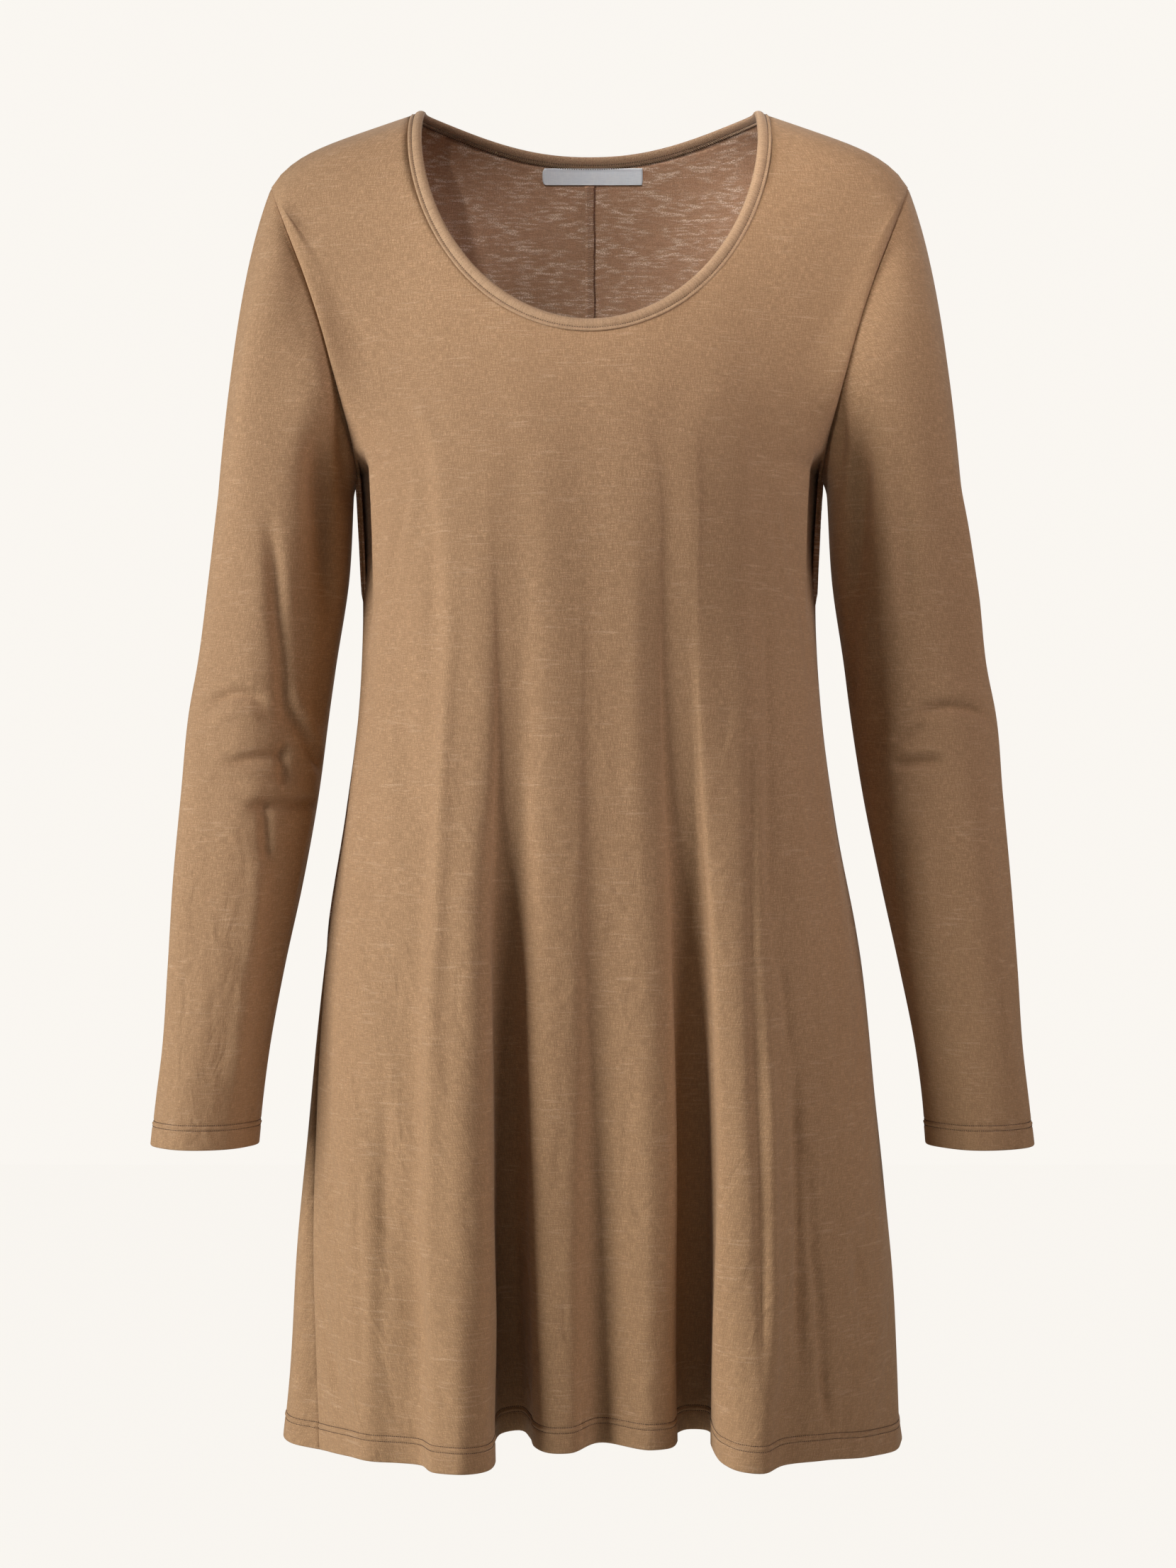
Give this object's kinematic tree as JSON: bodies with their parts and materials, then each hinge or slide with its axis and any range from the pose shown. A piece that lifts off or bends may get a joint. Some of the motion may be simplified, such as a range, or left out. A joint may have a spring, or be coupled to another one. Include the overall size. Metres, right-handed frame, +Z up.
{
  "type": "tunic top",
  "caption": "Long-sleeved swing tunic top in soft jersey, scoop neck, hollow as if worn, flared hem falling in deep folds.",
  "frame": {"origin": "midway between the two neck points, level with the shoulder line, where a wearer's neck and shoulders hold the garment up", "axes": "+Z up along the body, -Y out of the garment's front, +X towards the wearer's left side"},
  "size_m": [0.5428, 0.2316, 0.8274],
  "materials": {
    "tan_slub_jersey": "soft matt slub jersey with a slight sheen at the folds",
    "tan_binding": "soft matt jersey, folded and topstitched",
    "pale_woven_label": "smooth woven satin ribbon, bare"
  },
  "bodies": {
    "root": {"front_panel": "tan_slub_jersey", "back_left": "tan_slub_jersey", "back_right": "tan_slub_jersey", "sleeve_left": "tan_slub_jersey", "sleeve_right": "tan_slub_jersey", "back_seam_allowance": "tan_slub_jersey", "neck_binding": "tan_binding", "neck_label": "pale_woven_label"}
  },
  "joints": []
}
